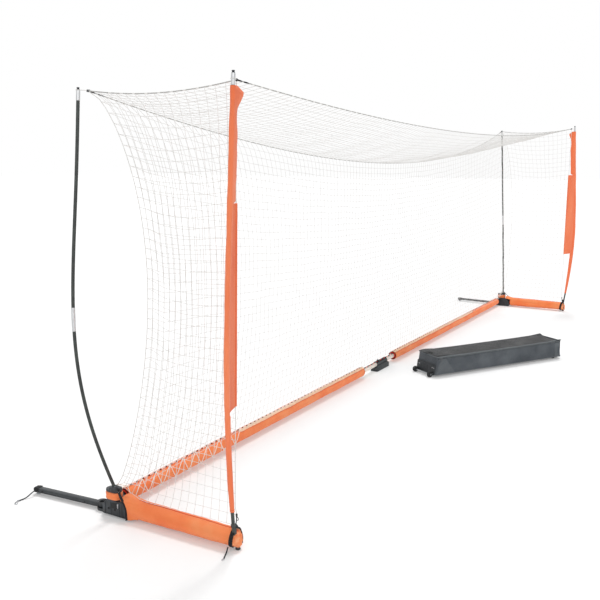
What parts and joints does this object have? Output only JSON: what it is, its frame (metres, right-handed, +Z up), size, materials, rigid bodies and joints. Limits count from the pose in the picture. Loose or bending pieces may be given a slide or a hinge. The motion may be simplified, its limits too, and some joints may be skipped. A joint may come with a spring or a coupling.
{
  "type": "portable bow-frame soccer goal with carry bag",
  "caption": "Portable soccer goal: a padded folding base, sprung bow poles in hubs and sockets, a laced net, folding rear legs and a wheeled zip carry bag.",
  "frame": {"origin": "on the ground under the rear base bar, halfway between the two hubs", "axes": "+X along the rear bar to the right hub, +Y to the rear of the goal, +Z up"},
  "size_m": [6.7688, 1.6992, 2.035],
  "materials": {
    "black_plastic": "moulded black nylon, fine grain",
    "black_metal": "black powder coat",
    "pole_composite": "satin black-green fibreglass rod",
    "ferrule_alloy": "brushed",
    "zinc_steel": "zinc plated",
    "orange_fabric": "woven polyester, stitched seams",
    "black_webbing": "ribbed polyester webbing and cord",
    "net_cord": "knotted white twine",
    "net_rope": "braided border rope",
    "bag_fabric": "dark grey coated canvas",
    "rubber": "moulded rubber"
  },
  "bodies": {
    "frame": {"hub_left": "black_plastic", "hub_right": "black_plastic", "centre_coupler": "black_plastic", "rear_bar_left": "black_metal", "rear_bar_right": "black_metal", "side_bar_left": "black_metal", "side_bar_right": "black_metal", "leg_pin_left": "zinc_steel", "leg_pin_right": "zinc_steel", "hub_band_left": "orange_fabric", "hub_band_right": "orange_fabric", "rear_pad_left": "orange_fabric", "rear_pad_right": "orange_fabric", "side_pad_left": "orange_fabric", "side_pad_right": "orange_fabric", "front_socket_left": "black_plastic", "front_socket_right": "black_plastic", "tie_strap_left": "black_webbing", "tie_strap_right": "black_webbing", "net_rear": "net_cord", "net_top": "net_cord", "net_left": "net_cord", "net_right": "net_cord", "net_rope": "net_rope", "strap_tail_left": "black_webbing", "strap_tail_right": "black_webbing", "bag_body": "bag_fabric", "bag_end_plate": "black_plastic", "bag_axle": "zinc_steel", "rear_pole_lower_left": "pole_composite", "rear_pole_upper_left": "pole_composite", "rear_ferrule_left": "ferrule_alloy", "rear_tip_left": "ferrule_alloy", "rear_pole_lower_right": "pole_composite", "rear_pole_upper_right": "pole_composite", "rear_ferrule_right": "ferrule_alloy", "rear_tip_right": "ferrule_alloy", "front_pole_lower_left": "pole_composite", "front_pole_upper_left": "pole_composite", "front_ferrule_left": "ferrule_alloy", "front_tip_left": "ferrule_alloy", "front_pole_lower_right": "pole_composite", "front_pole_upper_right": "pole_composite", "front_ferrule_right": "ferrule_alloy", "front_tip_right": "ferrule_alloy", "front_sleeve_left": "orange_fabric", "front_sleeve_right": "orange_fabric"},
    "leg_left": {"leg_left": "black_metal", "leg_foot_left": "rubber", "leg_tether_left": "black_webbing", "tether_hook_left": "zinc_steel"},
    "leg_right": {"leg_right": "black_metal", "leg_foot_right": "rubber", "leg_tether_right": "black_webbing", "tether_hook_right": "zinc_steel"},
    "wheel_left": {"bag_wheel_left": "rubber"},
    "wheel_right": {"bag_wheel_right": "rubber"},
    "lid": {"bag_lid": "bag_fabric"},
    "handle": {"bag_handle": "black_webbing"},
    "zip": {"zip_slider": "zinc_steel"}
  },
  "joints": [
    {"name": "leg_left_fold", "type": "hinge", "parent": "frame", "child": "leg_left", "pos_m": [-3.2, 0.066, 0.03], "axis": [0, 0, -1], "range_deg": [0, 94]},
    {"name": "leg_right_fold", "type": "hinge", "parent": "frame", "child": "leg_right", "pos_m": [3.2, 0.066, 0.03], "axis": [0, 0, 1], "range_deg": [0, 94]},
    {"name": "wheel_left_spin", "type": "hinge", "parent": "frame", "child": "wheel_left", "pos_m": [-0.14927, -0.44944, 0.023], "axis": [0.5329, 0.8462, 0], "continuous": true},
    {"name": "wheel_right_spin", "type": "hinge", "parent": "frame", "child": "wheel_right", "pos_m": [-0.04802, -0.28866, 0.023], "axis": [0.5329, 0.8462, 0], "continuous": true},
    {"name": "lid_open", "type": "hinge", "parent": "frame", "child": "lid", "pos_m": [0.55861, -0.63523, 0.1584], "axis": [-0.8462, 0.5329, 0], "range_deg": [0, 120]},
    {"name": "handle_swing", "type": "hinge", "parent": "frame", "child": "handle", "pos_m": [1.05929, -1.09824, 0.124], "axis": [-0.5329, -0.8462, 0], "range_deg": [0, 170]},
    {"name": "zip_slide", "type": "slide", "parent": "frame", "child": "zip", "axis": [0.8462, -0.5329, 0], "range_m": [0, 1.23]}
  ]
}
